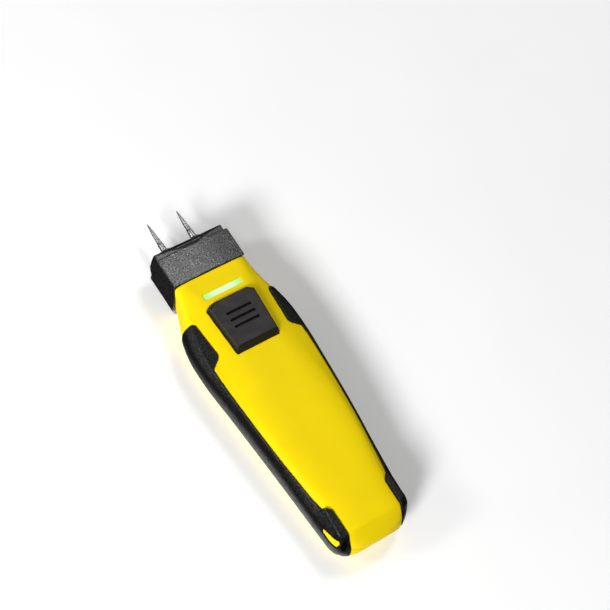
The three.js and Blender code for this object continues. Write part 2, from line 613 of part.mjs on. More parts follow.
const hollow = hollowCase();
place("front_shell", frontShell(hollow), "yellow");
place("rear_shell", rearShell(hollow), "yellow");
place("battery_cover", batteryCover(), "yellow");
place("measuring_head", measuringHead(), "graphite");
place("electrode_carrier", electrodeCarrier(), "insulator");
place("measure_key", measureKey(), "graphite");
place("key_return_pad", returnPad(), "silicone");
place("light_guide", lightGuide(), "light");
place("circuit_board", circuitBoard(), "board");
place("key_switch", switchBody(), "chip");
place("switch_button", switchButton(), "silicone");
place("main_chip", chip(-5.6, 81.8, 5, 5, 1.1), "chip");
place("radio_module", chip(3.2, 81.8, 8, 5.2, 1.6), "steel");
[["left", -5], ["middle", 0], ["right", 5]].forEach(([name, x]) =>
  place(`status_led_${name}`, chip(x, LIGHT.y, 2, 1.3, 0.85), "light"));

for (const [name, side] of [["left", -1], ["right", 1]]) {
  place(`${name}_grip`, grip(side), "rubber");
  place(`${name}_electrode`, electrode(side), "steel");
  place(`${name}_electrode_collar`, collar(side), "steel");
  place(`${name}_electrode_socket`, socket(side), "brass");
  place(`${name}_electrode_lead`, electrodeLead(side), "redWire");
  place(`${name}_cell`, cell(side), "cell");
  place(`${name}_contact_spring`, contactSpring(side), "steel");
  place(`${name}_contact_plate`, contactPlate(side), "steel");
}
place("lower_contact_bridge", contactBridge(), "steel");
CASE_SCREWS.forEach((at, i) => place(`case_screw_${i + 1}`, caseScrew(at), "steel"));
BOARD_SCREWS.forEach((at, i) => place(`board_screw_${i + 1}`, boardScrew(at), "steel"));

// The origin is on the back face, half way along the whole meter with its pins.
meter.position.y = -(CASE_LENGTH + PIN.reach) / 2;

export default meter;
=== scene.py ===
"""The looks of a pin-type moisture meter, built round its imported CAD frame.

The case is drawn as in the CAD: millimetres, Y = 0 at its lower end, X across it and Z out of its
front face. Each piece is cut out of fine lofts and put in its place. The moulded ones are first
evened out by a voxel remesh and softened along their edges.
"""
import json
import math

import bmesh
import bpy
import numpy as np
from mathutils import Matrix, Vector


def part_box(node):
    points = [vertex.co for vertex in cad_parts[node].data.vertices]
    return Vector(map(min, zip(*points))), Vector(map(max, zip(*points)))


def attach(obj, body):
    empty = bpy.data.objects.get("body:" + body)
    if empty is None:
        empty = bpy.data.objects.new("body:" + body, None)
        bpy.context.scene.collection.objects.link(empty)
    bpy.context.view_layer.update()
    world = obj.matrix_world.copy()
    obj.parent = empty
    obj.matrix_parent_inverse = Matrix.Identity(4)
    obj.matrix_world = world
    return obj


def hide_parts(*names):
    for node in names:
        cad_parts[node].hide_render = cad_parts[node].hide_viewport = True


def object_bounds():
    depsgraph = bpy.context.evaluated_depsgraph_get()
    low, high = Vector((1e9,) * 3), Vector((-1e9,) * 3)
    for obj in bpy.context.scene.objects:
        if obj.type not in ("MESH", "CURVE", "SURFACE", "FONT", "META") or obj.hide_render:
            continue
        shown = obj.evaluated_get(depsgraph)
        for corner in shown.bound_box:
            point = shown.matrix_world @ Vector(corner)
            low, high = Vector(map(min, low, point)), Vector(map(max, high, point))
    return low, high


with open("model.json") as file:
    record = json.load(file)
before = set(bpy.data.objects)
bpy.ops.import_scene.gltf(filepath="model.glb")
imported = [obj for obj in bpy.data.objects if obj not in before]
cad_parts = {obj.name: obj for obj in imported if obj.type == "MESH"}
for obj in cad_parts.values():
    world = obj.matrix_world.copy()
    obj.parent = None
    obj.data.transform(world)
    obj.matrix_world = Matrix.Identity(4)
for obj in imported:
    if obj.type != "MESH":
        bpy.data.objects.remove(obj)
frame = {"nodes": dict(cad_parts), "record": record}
CAD_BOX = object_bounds()

# ---- Driving dimensions, in millimetres ----
MM = 0.001
# From the frame.
LOW_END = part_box("front_shell")[0].y / MM  # the case's lower end
HEAD_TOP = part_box("measuring_head")[1].y / MM - LOW_END
PIN_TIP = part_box("left_electrode")[1].y / MM - LOW_END
PIN_X = (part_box("right_electrode")[0].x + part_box("right_electrode")[1].x) / 2 / MM
PIN_Z = (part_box("right_electrode")[0].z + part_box("right_electrode")[1].z) / 2 / MM

# How far solids that cut others reach.
OUT = 40  # past the case's sides
UNDER = -5  # past its back and its lower end
OVER = 30  # past its front
BEYOND = 140  # past the head's upper end

# The case.
CASE_TOP = 126  # its upper end, inside the head
CORE_TOP = 130  # where the solids that hollow it out end
STEP_Y = 1.5  # between its sections
FRONT_Z = 21.0
WALL = 2.0
GAP = 0.25
FINE_GAP = 0.12  # round the light bar, and in the eye window
PARTING_Z = 13.0
SEAM_Y = 120.4
SEAM_SLOPE = 3.4
CORNER_R = 9.0
BEVEL_Y = 6.5
BEVEL_SLOPE = 0.85
FLANK = {"crease_inset": 0.9, "widest_drop": 3.3, "least": 0.5, "foot_in": 1.4, "foot_rise": 0.42,
         "back_in": 4.8}
FLANK_RADII = [3.5, 6, 4]
CASE_SCREWS = [(10.9, 110.5), (-10.9, 110.5), (8.6, 12.6), (-8.6, 12.6)]
SCREW_BOSS = {"r": 3.1, "recess_r": 2.5, "recess": 4.6, "hole_r": 1.4, "hole": 15}
INSIDE = 0.6  # how far the tub and the bosses stay inside the case's outside

# The grips, and the lanyard hole in the left one.
GRIP_PROUD = 0.45
GRIP_DEPTH = 1.4
GRIP_TOP_Y = 105.0
GRIP_BACK_Z = 3.4
GRIP_FRONT_Z = 13.6
STRIP_YS = (85.2, 80, 74, 68, 63, 57, 52, 46, 41, 35, 30, 25)
NOTCH_Y = 19.6
NOTCH_X = 12.2
BUMPER = {"foot": 12.1, "top_y": 18.8, "low_y": 8.4, "end_y": 4.6, "crest": (14.5, 20.1),
          "lean": (0.07, -0.09)}
BUMPER_YS = [10, 11.5, 13, 14.5, 16, 17.2, 18.2, 18.8, 19.4]
EYE = {"x": -14.3, "y": 4.1, "z": 15.0, "r": 1.0, "sleeve": 1.6, "lean": 0.08, "slack": 0.12}
EYE_BLOCK = (-30, -9.4, -1, 14, 3, 20)  # where the case is solid round the hole
EYE_WINDOW = {"low": PARTING_Z + 0.2, "y0": 5.3, "y1": 13.1,
              "edge": [(5.3, 15.3), (6.2, 16.7), (9.9, 16), (13.7, 14.9)],
              "within": (-30, -9, UNDER, 20, 0, OVER)}

# The key, and the light bar. A step is (height from the key's top, then how far it is drawn in at
# its flanks, its lower end and its upper end).
KEY = {"y": 96.75, "length": 21.7, "top": 21.2, "bottom": 19.2, "rise": 2.3, "corner": (2.6, 1.6),
       "skirt": 2.7}
KEY_GROOVES = {"ys": (94.9, 97.9, 100.9), "half": 5.6, "half_width": 0.45, "depth": 1.5}
KEY_STEPS = [(-0.45, 0.3, 1.35, 0.15), (-0.4, 0.55, 1.6, 0.3), (-0.1, 0.62, 1.7, 0.36),
             (0, 0.85, 1.95, 0.6)]
LIGHT = {"y": 111.5, "width": 16.9, "height": 2.1}
OPENING_Z = 15  # the openings for both start here

# The measuring head and its pins.
HEAD_HALF = 16.2
HEAD_FLANK = [(HEAD_HALF, 6.2), (13.8, 1.6), (10.6, 0.1)]
HEAD_RADII = [7, 0.3, 1.2, 1.5, 2]
HEAD_LOW = 100
HEAD_FOOT = [(HEAD_LOW, UNDER), (131.5, UNDER), (132.4, 1)]
HEAD_CORE = {"in": 1.9, "back": 0.8, "y1": 131.5}
HEAD_SLOT = {"half": 5.9, "y0": 1.65, "y1": 0.55, "bottom": 18}
PLATE_TOP = 133.2
BLOCK = {"in": 0.8, "back": 0.6}  # how far the block stays inside the plate's section
CREST = [(-0.4, 10), (0, 14), (0, 18.2), (-0.3, 18.9), (-1.2, 19.4)]  # its crown, from HEAD_TOP
PIN = {"r": 1.2, "neck_r": 1.03, "cone": 10.4, "foot_y": 126.3, "power": 0.6, "steps": 12,
       "bore_r": 2.3}
COLLAR = [(1.4, 0), (2.4, 0), (2.6, 0.2), (2.6, 1.5), (2.4, 1.9), (2.0, 2.15), (1.4, 2.2)]

# The battery cover and its bay.
COVER = {"y1": 79.5, "half": 12.6, "thick": 2.0, "corner": 3}
DECK = {"out": 2.6, "y0": 2, "up": 2.4}  # the plate over the cover, past its sides and its end
RAIL = {"out": 0.8, "bottom": 1.2, "cover_y0": 26, "end": 4}
THUMB = {"half": 6, "y0": 62, "pitch": 2.2, "width": 1.2, "depth": 0.5, "count": 5}
BAY = {"y0": 25.4, "y1": 76.4, "half": 11.8, "top": 13.5, "wall": 1.2}
CELL = {"x": 5.7, "z": 7.8, "r": 5.25, "bare_r": 4.7}
CELL_NUB = [(0, 0), (1.6, 0), (1.85, 0.15), (1.9, 0.9), (2.4, 1.0), (3.9, 1.0), (4.1, 0.8),
            (4.9, 0.8), (5.15, 0.95), (CELL["r"], 1.3), (CELL["r"], 2.0), (CELL["r"] - 0.02, 2.05)]
CELL_FOOT = [(CELL["r"], 1.2), (CELL["r"] - 0.12, 0.75), (4.9, 0.5), (4.5, 0.5), (4.3, 0.1),
             (4.0, 0), (0, 0)]
SPRING = {"turns": 3.4, "foot_r": 3.6, "taper": 1.7, "wire_r": 0.28, "points": 120, "closed": 0.2,
          "open": 0.55, "lean": 0.08, "inset": 0.3}
CONTACT = {"x0": 0.8, "x1": 10.6, "z0": 4, "z1": 11.6, "gap": 0.15, "face": 0.45}
TAB = {"x0": 5, "x1": 6.4, "y": 79.7, "end": 80, "z0": 10.2, "z1": 10.5, "top": 12.3}

# A case screw, its profiles as (radius, height).
SCREW_HEAD = [(1.7, 0), (2.05, 0.12), (2.2, 0.45), (2.2, 1.5), (2.1, 1.7), (0.85, 1.72)]
SCREW_POINT = [(0.8, -1.1), (0.35, -0.3), (0.05, 0)]
THREAD = {"r": 0.85, "height": 0.25, "pitch": 1.0, "start": 1.9, "end": 1.2}
SCREW_CROSS = {"half": 1.2, "half_width": 0.3, "shares": ((1.15, -0.4), (0.6, 1.1))}

# How each moulded piece is evened out: voxel size and smoothing passes.
EVEN = {"front": (0.3, 5), "rear": (0.3, 4), "cover": (0.25, 3), "grip": (0.2, 5), "head": (0.2, 2),
        "key": (0.14, 2), "light": (0.15, 2)}


# ---- Curves and sections ----
def through(stations):
    """A smooth function through (y, value) stations."""
    ys, values = np.array(stations, float).T
    slopes = np.gradient(values, ys)

    def at(y):
        y = min(max(y, ys[0]), ys[-1])
        i = min(int(np.searchsorted(ys, y, side="right")) - 1, len(ys) - 2)
        span = ys[i + 1] - ys[i]
        t = (y - ys[i]) / span
        rise = values[i + 1] - values[i]
        m0, m1 = slopes[i] * span, slopes[i + 1] * span
        return values[i] + t * (m0 + t * (3 * rise - 2 * m0 - m1 + t * (m0 + m1 - 2 * rise)))

    return at


def arc_inset(r, d):
    """How far an arc of radius r has come in at distance d from the end it rounds."""
    return r - math.sqrt(r * r - (r - max(d, 0)) ** 2) if d < r else 0.0


side_half = through([(0, 16.9), (22, 18.4), (40, 19.6), (68, 21.7), (86, 23.1), (98, 22.6),
                     (104, 21.2), (110, 18.9), (117, 16.5), (CASE_TOP, 15.9)])
crease_half = through([(0, 14.4), (20, 15.9), (46, 18.8), (64, 20.1), (84.6, 20.9), (94, 20.4),
                       (104, 18.5), (112, 16.9), (SEAM_Y, 16), (CASE_TOP, 15.6)])
crease_z = through([(0, 17.4), (20, 17.6), (46, 18.2), (64, 18.4), (104, 18.6), (118, 19.4),
                    (CASE_TOP, 19.8)])
plateau_half = through([(0, 11), (20, 11.6), (40, 14.4), (60, 14.4), (75, 12.6), (86, 11.2),
                        (108, 11.4), (120, 14)])
plateau_round = through([(0, 8), (60, 8), (84, 5), (110, 3), (CASE_TOP, 2)])
front_z = through([(0, 20), (20, 20.3), (40, 20.7), (60, FRONT_Z), (CASE_TOP, FRONT_Z)])
back_z = through([(0, 11), (0.6, 8.3), (1.5, 5.4), (3, 2.3), (4.8, 0.6), (7, 0)])


def offset_polygon(corners, grow):
    """A convex clockwise polygon moved out by grow."""
    corners = np.array(corners, float)
    edges = np.roll(corners, -1, 0) - corners
    normals = np.stack([-edges[:, 1], edges[:, 0]], 1) / np.linalg.norm(edges, axis=1)[:, None]
    reach = (normals * corners).sum(1) + grow
    a, b = np.roll(normals, 1, 0), normals
    ra, rb = np.roll(reach, 1), reach
    det = a[:, 0] * b[:, 1] - a[:, 1] * b[:, 0]
    x = (ra * b[:, 1] - rb * a[:, 1]) / det
    z = (rb * a[:, 0] - ra * b[:, 0]) / det
    return np.stack([x, z], 1)


def rounded(corners, radii, steps=7):
    """Each corner made a curve that starts its radius away, or nearly half an edge if less."""
    points = []
    count = len(corners)
    for i in range(count):
        p = corners[i]
        ends = []
        for q in (corners[i - 1], corners[(i + 1) % count]):
            length = np.linalg.norm(q - p)
            ends.append(p + (q - p) * min(radii[i], length * 0.47) / length)
        for t in np.linspace(0, 1, steps):
            points.append((1 - t) ** 2 * ends[0] + 2 * t * (1 - t) * p + t * t * ends[1])
    return np.array(points)


def both_halves(half, radii, grow, y):
    """The section at y whose right half has these corners and radii, moved out by grow."""
    corners = [(-x, z) for x, z in reversed(half)] + half
    ring = rounded(offset_polygon(corners, grow), radii[::-1] + radii)
    return np.column_stack([ring[:, 0], np.full(len(ring), y), ring[:, 1]])


def bumper_share(y):
    """How much of the lower bumper's raised ridge there is at y."""
    if y > BUMPER["top_y"]:
        return 0.0
    return min(max((y - BUMPER["end_y"]) / (BUMPER["low_y"] - BUMPER["end_y"]), 0), 1)


def case_ring(y, grow=0.0, ridge=0.0):
    """The case's section at y, clockwise along +Y; ridge raises the bumper outside its foot."""
    inset = arc_inset(CORNER_R, y)
    drop = BEVEL_SLOPE * max(BEVEL_Y - y, 0)
    side = side_half(y) - inset
    crease = crease_half(y) - inset * FLANK["crease_inset"]
    edge = crease_z(y) - drop
    back = back_z(y)
    widest = max(edge - FLANK["widest_drop"], back + FLANK["least"])
    front = np.array([(min(plateau_half(y), crease - 3), front_z(y) - drop), (crease, edge)])
    if ridge:
        foot_z = np.interp(BUMPER["foot"], front[:, 0], front[:, 1])
        down = BUMPER["top_y"] - y
        crest = [at + lean * down for at, lean in zip(BUMPER["crest"], BUMPER["lean"])]
        raised = np.array([(BUMPER["foot"], foot_z), crest])
        front += (raised - front) * ridge
    foot = (side - FLANK["foot_in"], back + FLANK["foot_rise"] * (widest - back))
    half = [*front, (side, widest), foot, (side - FLANK["back_in"], back)]
    radii = [0.8 if ridge else plateau_round(y), 0.7 if grow > 0 else 1.3, *FLANK_RADII]
    return both_halves(half, radii, grow, y)


END_STATIONS = [0, 0.1, 0.3, 0.6, 1, 1.5, 2.1, 2.8, 3.6, 4.5, 5.4, 6.2, 6.8, 7.6, 8.6]


def case_rings(grow, start, stop):
    """The case's sections from start to stop, closer together at the lower end."""
    stations = END_STATIONS + list(np.arange(10, CASE_TOP + 1, STEP_Y))
    inner = [y for y in stations if start + 0.05 < y < stop - 0.05]
    return [case_ring(y, grow) for y in [start] + inner + [stop]]


# ---- Solids ----
def new_object(name, vertices, faces):
    """A mesh object in the scene."""
    mesh = bpy.data.meshes.new(name)
    mesh.from_pydata([tuple(v) for v in vertices], [], [tuple(f) for f in faces])
    mesh.validate()
    obj = bpy.data.objects.new(name, mesh)
    bpy.context.scene.collection.objects.link(obj)
    return obj


def level(flat, z):
    """A plan outline set at height z."""
    return np.column_stack([flat, np.full(len(flat), z)])


def loft(rings):
    """A closed solid through rings of the same count, counter-clockwise seen from the next one."""
    count = len(rings[0])
    around = np.arange(count)
    after = (around + 1) % count
    faces = []
    for s in range(len(rings) - 1):
        a, b = s * count + around, s * count + after
        faces += np.column_stack([a, b, b + count, a + count]).tolist()
    last = (len(rings) - 1) * count
    faces.append([int(i) for i in around[::-1]])
    faces.append([int(i) + last for i in around])
    return new_object("solid", np.concatenate(rings), faces)


def case_solid(grow, start, stop):
    """The case's outside moved out by grow, between two heights along it."""
    return loft(case_rings(grow, start, stop))


def prism(outline, z0, z1):
    """A counter-clockwise plan outline between two heights."""
    flat = np.array(outline, float)
    return loft([level(flat, z) for z in (z0, z1)])


def box(x0, x1, y0, y1, z0, z1):
    return prism([(x0, y0), (x1, y0), (x1, y1), (x0, y1)], z0, z1)


def circle(r, sides):
    angles = np.linspace(0, 2 * math.pi, sides, endpoint=False)
    return np.column_stack([r * np.cos(angles), r * np.sin(angles)])


def post(x, y, z0, z1, r, sides=48):
    return prism(circle(r, sides) + (x, y), z0, z1)


def turned(profile, x, z, sides=48):
    """A turned piece about a line along Y: profile is (radius, y) from its low end up."""
    rings = []
    for r, y in profile:
        ring = circle(max(r, 0.004), sides)[::-1]
        rings.append(np.column_stack([ring[:, 0] + x, np.full(sides, y), ring[:, 1] + z]))
    return loft(rings)


def across(outline):
    """An outline in Y and Z carried right across the case."""
    flat = np.array(outline, float)
    return loft([np.column_stack([np.full(len(flat), x), flat]) for x in (-OUT, OUT)])


def remove(obj):
    mesh = obj.data
    bpy.data.objects.remove(obj)
    bpy.data.meshes.remove(mesh)


def bake(obj):
    """Applies obj's modifiers."""
    bpy.context.view_layer.update()
    evaluated = obj.evaluated_get(bpy.context.evaluated_depsgraph_get())
    mesh = bpy.data.meshes.new_from_object(evaluated)
    old = obj.data
    obj.modifiers.clear()
    obj.data = mesh
    bpy.data.meshes.remove(old)
    return obj


def combine(obj, tool, operation):
    """Applies a boolean with tool, which it uses up."""
    modifier = obj.modifiers.new("combine", "BOOLEAN")
    modifier.operation = operation
    modifier.solver = "MANIFOLD"
    modifier.object = tool
    bake(obj)
    remove(tool)
    return obj


def cut(obj, *tools):
    for tool in tools:
        combine(obj, tool, "DIFFERENCE")
    return obj


def join(obj, *tools):
    for tool in tools:
        combine(obj, tool, "UNION")
    return obj


def within(obj, tool):
    return combine(obj, tool, "INTERSECT")


def largest_body(obj):
    """Keeps the largest of obj's separate bodies, and drops the crumbs that the remesh left."""
    shape = bmesh.new()
    shape.from_mesh(obj.data)
    loose = set(shape.verts)
    bodies = []
    while loose:
        body = [loose.pop()]
        for vertex in body:
            for edge in vertex.link_edges:
                other = edge.other_vert(vertex)
                if other in loose:
                    loose.remove(other)
                    body.append(other)
        bodies.append(body)
    for body in sorted(bodies, key=len)[:-1]:
        bmesh.ops.delete(shape, geom=body, context="VERTS")
    shape.to_mesh(obj.data)
    shape.free()
    return obj


def soften(obj, voxel, passes):
    """Evens out the mesh with a voxel remesh and rounds its edges by smoothing it."""
    remesh = obj.modifiers.new("even", "REMESH")
    remesh.mode = "VOXEL"
    remesh.voxel_size = voxel
    remesh.use_smooth_shade = True
    smooth = obj.modifiers.new("soften", "SMOOTH")
    smooth.factor = 0.5
    smooth.iterations = passes
    return bake(obj)


def finish_piece(obj, name, look, body, *stands_for, smooth_angle=None):
    """Puts a drawn piece in the frame, with its material, its body and the CAD nodes it is for."""
    obj.name = name
    obj.data.name = name
    obj.data.transform(Matrix.Scale(MM, 4) @ Matrix.Translation((0, LOW_END, 0)))
    obj.data.materials.clear()
    obj.data.materials.append(look)
    if smooth_angle is not None:
        obj.data.shade_smooth()
        obj.data.set_sharp_from_angle(angle=math.radians(smooth_angle))
    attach(obj, body)
    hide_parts(*stands_for)
    return obj


slot_of = {part["node"]: part["material_slot"] for part in frame["record"]["subparts"]}

# ---- Materials ----
CLOUD_MM = 14  # the size of a moulding's cloudy patches
SMEAR_MM = 3  # the size of its duller and glossier patches


class Nodes:
    """A short way to wire a material's nodes."""

    def __init__(self, name):
        self.material = bpy.data.materials.new(name)
        self.material.use_nodes = True
        self.tree = self.material.node_tree
        self.shader = self.tree.nodes["Principled BSDF"]
        self.place = self.add("ShaderNodeTexCoord").outputs["Object"]

    def add(self, kind, **settings):
        node = self.tree.nodes.new(kind)
        for key, value in settings.items():
            setattr(node, key, value)
        return node

    def link(self, source, target):
        self.tree.links.new(source, target)

    def noise(self, size_mm, detail=3.0, stretch=None):
        """Noise with features about size_mm across."""
        node = self.add("ShaderNodeTexNoise")
        node.inputs["Scale"].default_value = 1 / (size_mm * MM)
        node.inputs["Detail"].default_value = detail
        place = self.place
        if stretch:
            mapping = self.add("ShaderNodeMapping")
            mapping.inputs["Scale"].default_value = stretch
            self.link(place, mapping.inputs["Vector"])
            place = mapping.outputs["Vector"]
        self.link(place, node.inputs["Vector"])
        return node.outputs["Fac"]

    def ramp(self, source, low, high, start=0.3, end=0.7):
        """source spread from start..end onto low..high, as numbers or colours."""
        node = self.add("ShaderNodeMapRange" if np.isscalar(low) else "ShaderNodeValToRGB")
        if np.isscalar(low):
            node.inputs["From Min"].default_value = start
            node.inputs["From Max"].default_value = end
            node.inputs["To Min"].default_value = low
            node.inputs["To Max"].default_value = high
            self.link(source, node.inputs["Value"])
            return node.outputs["Result"]
        node.color_ramp.elements[0].position = start
        node.color_ramp.elements[0].color = (*low, 1)
        node.color_ramp.elements[1].position = end
        node.color_ramp.elements[1].color = (*high, 1)
        self.link(source, node.inputs["Fac"])
        return node.outputs["Color"]

    def bump(self, height, distance_mm, below=None):
        """A normal that follows height, on top of the normal below."""
        node = self.add("ShaderNodeBump")
        node.inputs["Distance"].default_value = distance_mm * MM
        node.inputs["Strength"].default_value = 1.0
        self.link(height, node.inputs["Height"])
        if below is not None:
            self.link(below, node.inputs["Normal"])
        return node.outputs["Normal"]

    def convex_edge_mask(self, radius_mm):
        """Near 1 along convex edges, 0 on open faces."""
        bevel = self.add("ShaderNodeBevel", samples=4)
        bevel.inputs["Radius"].default_value = radius_mm * MM
        geometry = self.add("ShaderNodeNewGeometry")
        dot = self.add("ShaderNodeVectorMath", operation="DOT_PRODUCT")
        self.link(bevel.outputs["Normal"], dot.inputs[0])
        self.link(geometry.outputs["Normal"], dot.inputs[1])
        return self.ramp(dot.outputs["Value"], 1.0, 0.0, 0.86, 0.99)

    def edges_worn_and_highlighted(self, color, edge, radius_mm, amount):
        """color, going towards edge along convex edges: partly rubbed wear, partly a painted
        highlight.
        """
        wear_and_highlight = self.add("ShaderNodeMath", operation="MULTIPLY")
        wear_and_highlight.inputs[1].default_value = amount
        self.link(self.convex_edge_mask(radius_mm), wear_and_highlight.inputs[0])
        mix = self.add("ShaderNodeMix", data_type="RGBA")
        self.link(wear_and_highlight.outputs["Value"], mix.inputs["Factor"])
        self.link(color, mix.inputs["A"])
        mix.inputs["B"].default_value = (*edge, 1)
        return mix.outputs["Result"]

    def set(self, **values):
        """Sets the shader's inputs to sockets, colours or numbers, and gives the material."""
        names = {"color": "Base Color", "roughness": "Roughness", "metallic": "Metallic",
                 "normal": "Normal", "specular": "Specular IOR Level", "coat": "Coat Weight",
                 "specular_tint": "Specular Tint", "coat_normal": "Coat Normal",
                 "coat_roughness": "Coat Roughness", "glow": "Emission Color",
                 "glow_strength": "Emission Strength"}
        for key, value in values.items():
            target = self.shader.inputs[names[key]]
            if isinstance(value, bpy.types.NodeSocket):
                self.link(value, target)
            elif isinstance(value, tuple):
                target.default_value = (*value, 1)
            else:
                target.default_value = value
        return self.material


def moulded(name, low, high, roughness, grain_mm, grain_depth, specular=0.4, coat=0.0):
    """A moulded plastic or rubber: an eroded grain, cloudy colour and slightly uneven gloss."""
    n = Nodes(name)
    clouds = n.noise(CLOUD_MM, 2)
    grain = n.noise(grain_mm, 2)
    color = n.ramp(clouds, low, high)
    gloss = n.ramp(n.noise(SMEAR_MM, 4), roughness - 0.05, roughness + 0.05)
    normal = n.bump(grain, grain_depth)
    tint = tuple(min(1, 0.25 + c) for c in high) if max(high) > 0.5 else (1.0, 1.0, 1.0)
    return n.set(color=color, roughness=gloss, normal=normal, specular=specular, coat=coat,
                 specular_tint=tint)


def speckled(name, dark, light, roughness, grain_mm, grain_depth, specular, wear_and_highlight, coat=0.0):
    """A coarse eroded grain, tops painted as glints, edges lighter: part wear, part painted
    highlight.
    """
    n = Nodes(name)
    grain = n.noise(grain_mm, 3)
    # Painted light: the grain's tops are painted lighter as glints, and its convex edges lighter,
    # partly wear and partly a painted highlight.
    wear_and_highlight_color = tuple(3 * c for c in light)
    color = n.edges_worn_and_highlighted(n.ramp(grain, dark, light, 0.38, 0.66), wear_and_highlight_color, 0.5, wear_and_highlight)
    gloss = n.ramp(n.noise(grain_mm * 1.7, 2), roughness - 0.1, roughness + 0.08)
    swell = n.bump(n.noise(grain_mm * 4, 2), grain_depth * 0.6)
    normal = n.bump(grain, grain_depth, swell)
    shine = n.ramp(n.noise(grain_mm * 0.9, 1), specular * 0.25, specular, 0.42, 0.6)
    return n.set(color=color, roughness=gloss, normal=normal, specular=shine, coat=coat,
                 coat_roughness=0.3, coat_normal=normal)


def polished(name, color, roughness, streak_mm=0.25):
    """Turned metal: fine rings round its axis."""
    n = Nodes(name)
    rings = n.noise(streak_mm, 2, (0.08, 1, 0.08))
    tint = n.ramp(n.noise(2.5, 3), tuple(c * 0.82 for c in color), color)
    gloss = n.ramp(rings, roughness * 0.94, roughness * 1.08)
    return n.set(color=tint, metallic=1.0, roughness=gloss, normal=n.bump(rings, 0.0003))


def lit(name, centre, end, strength):
    """A diffusing bar lit from behind: pale in the middle, deeper at its ends."""
    n = Nodes(name)
    axis = n.add("ShaderNodeSeparateXYZ")
    n.link(n.place, axis.inputs["Vector"])
    away = n.add("ShaderNodeMath", operation="ABSOLUTE")
    n.link(axis.outputs["X"], away.inputs[0])
    share = n.add("ShaderNodeMath", operation="DIVIDE")
    share.inputs[1].default_value = LIGHT["width"] / 2 * MM
    n.link(away.outputs["Value"], share.inputs[0])
    color = n.ramp(share.outputs["Value"], centre, end, 0.45, 0.95)
    return n.set(color=(0.03, 0.05, 0.02), glow=color, glow_strength=strength, roughness=0.4,
                 normal=n.bump(n.noise(0.5), 0.02))


LOOKS = {
    "yellow": moulded("satin_yellow", (0.88, 0.655, 0.0015), (0.92, 0.69, 0.0015),
                      0.5, 0.28, 0.008, 0.25),
    # The head and the grip rubber get painted glints on their grain tops and convex edges painted
    # lighter, partly wear, partly painted highlight.
    "head": speckled("eroded_graphite", (0.0012, 0.001, 0.0011), (0.011, 0.010, 0.0106),
                     0.31, 0.42, 0.08, 1.0, 0.8, 0.4),
    "key": moulded("satin_charcoal", (0.0085, 0.0064, 0.0066), (0.012, 0.0092, 0.0094),
                   0.5, 0.22, 0.015, 0.36),
    "rubber": speckled("grip_rubber", (0.0012, 0.0009, 0.0009), (0.005, 0.0042, 0.0042),
                       0.46, 0.45, 0.08, 0.55, 0.4),
    # Painted shade: a near-black, nearly glossless rubber for the lanyard hole's wall, where shade
    # falls.
    "bore": moulded("painted_shade_rubber", (0.0003, 0.0002, 0.0002), (0.0006, 0.0005, 0.0005),
                    0.7, 0.3, 0.01, 0.02),
    "steel": polished("pin_steel", (0.74, 0.74, 0.75), 0.27, 0.5),
    "light": lit("lit_bar", (0.73, 0.98, 0.56), (0.40, 0.98, 0.25), 0.92),
    "screw": polished("zinc_steel", (0.5, 0.5, 0.52), 0.3, 0.5),
    "sleeve": moulded("cell_sleeve", (0.03, 0.05, 0.08), (0.05, 0.08, 0.12),
                      0.3, 0.6, 0.006, 0.5, 0.4),
    "brass": polished("turned_brass", (0.72, 0.5, 0.22), 0.25),
    "nickel": polished("contact_nickel", (0.62, 0.60, 0.56), 0.28, 0.5),
    "board": moulded("solder_mask", (0.010, 0.10, 0.035), (0.016, 0.13, 0.05),
                     0.35, 0.8, 0.02, 0.5, 0.3),
    "epoxy": moulded("black_epoxy", (0.012, 0.012, 0.012), (0.02, 0.02, 0.02), 0.55, 0.2, 0.01),
    "silicone": moulded("grey_silicone", (0.16, 0.17, 0.18), (0.2, 0.21, 0.22), 0.6, 0.5, 0.01),
    "insulator": moulded("natural_plastic", (0.62, 0.58, 0.50), (0.68, 0.64, 0.56), 0.5, 0.4, 0.01),
    "wire": moulded("wire_insulation", (0.42, 0.02, 0.015), (0.5, 0.03, 0.02), 0.4, 0.3, 0.01),
}
SLOT_LOOKS = {"yellow_case": "yellow", "graphite_moulding": "head", "grip_rubber": "rubber",
              "pin_steel": "steel", "socket_brass": "brass", "wire_insulation": "wire",
              "cell_sleeve": "sleeve", "contact_steel": "nickel", "screw_steel": "screw",
              "insulator": "insulator", "silicone_pad": "silicone", "light_guide": "light",
              "board": "board", "black_component": "epoxy", "led": "light"}


# ---- Shapes shared by neighbours ----
def mirrored(points, side):
    """A plan outline given for the right-hand side, kept counter-clockwise on either side."""
    flipped = [(side * x, y) for x, y in points]
    return flipped if side > 0 else flipped[::-1]


def grip_plan(side, inset):
    """A grip's outline over the front: upper pad, strip along the crease and lower bumper."""
    strip = [(crease_half(y) - 0.5 + inset, y) for y in STRIP_YS]
    pad = [(OUT, GRIP_TOP_Y - inset), (18 + inset, GRIP_TOP_Y - inset),
           (16.9 + inset, GRIP_TOP_Y - 1.3), (16 + inset, 89.4), (16.6 + inset, 88.1)]
    bumper = [(crease_half(20) - 1 + inset, NOTCH_Y - inset),
              (NOTCH_X + 1 + inset, NOTCH_Y - 1.2 - inset),
              (NOTCH_X + inset, NOTCH_Y - 2.6 - inset),
              (NOTCH_X - 0.4 + inset, UNDER), (OUT, UNDER)]
    return mirrored(pad + strip + bumper, side)


def grip_space(side, inset):
    """All that one grip covers, front and flank."""
    x0, x1 = sorted((side * (NOTCH_X - 0.4 + inset), side * OUT))
    flank = box(x0, x1, UNDER, GRIP_TOP_Y - inset, GRIP_BACK_Z + inset, GRIP_FRONT_Z + 0.1)
    return join(prism(grip_plan(side, inset), GRIP_FRONT_Z, OUT), flank)


